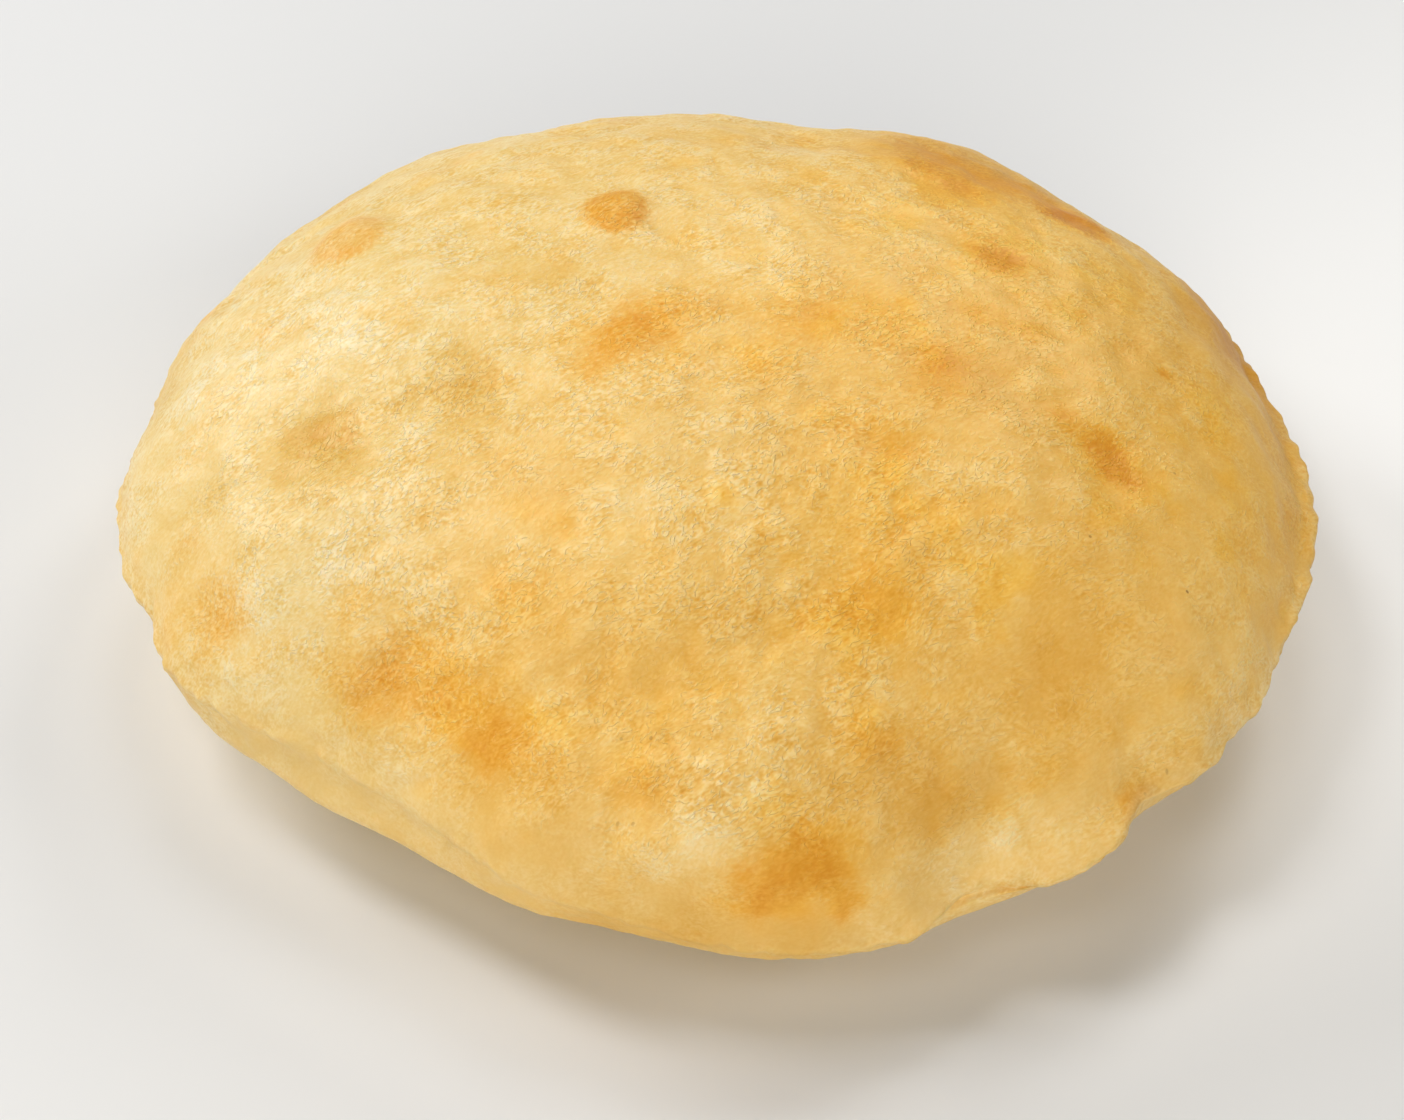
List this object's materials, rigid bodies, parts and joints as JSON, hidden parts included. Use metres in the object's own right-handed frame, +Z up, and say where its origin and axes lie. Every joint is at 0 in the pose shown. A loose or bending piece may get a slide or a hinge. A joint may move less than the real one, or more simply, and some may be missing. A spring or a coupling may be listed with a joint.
{
  "type": "bhatura",
  "caption": "Whole puffed deep-fried round bread with a domed golden top, a paler belly, a thin wavy seam lip and a flat spot underneath to rest on.",
  "frame": {"origin": "on the resting plane, under the middle of the bread's bounding box", "axes": "+Z up through the domed top; +X along the bread's longer side, to the right as pictured; +Y away from the camera"},
  "size_m": [0.186, 0.1684, 0.0571],
  "materials": {
    "fried_crust": "pale golden fried crust, slightly oily, with browner patches and blisters"
  },
  "bodies": {
    "root": {"bhatura": "fried_crust"}
  },
  "joints": []
}
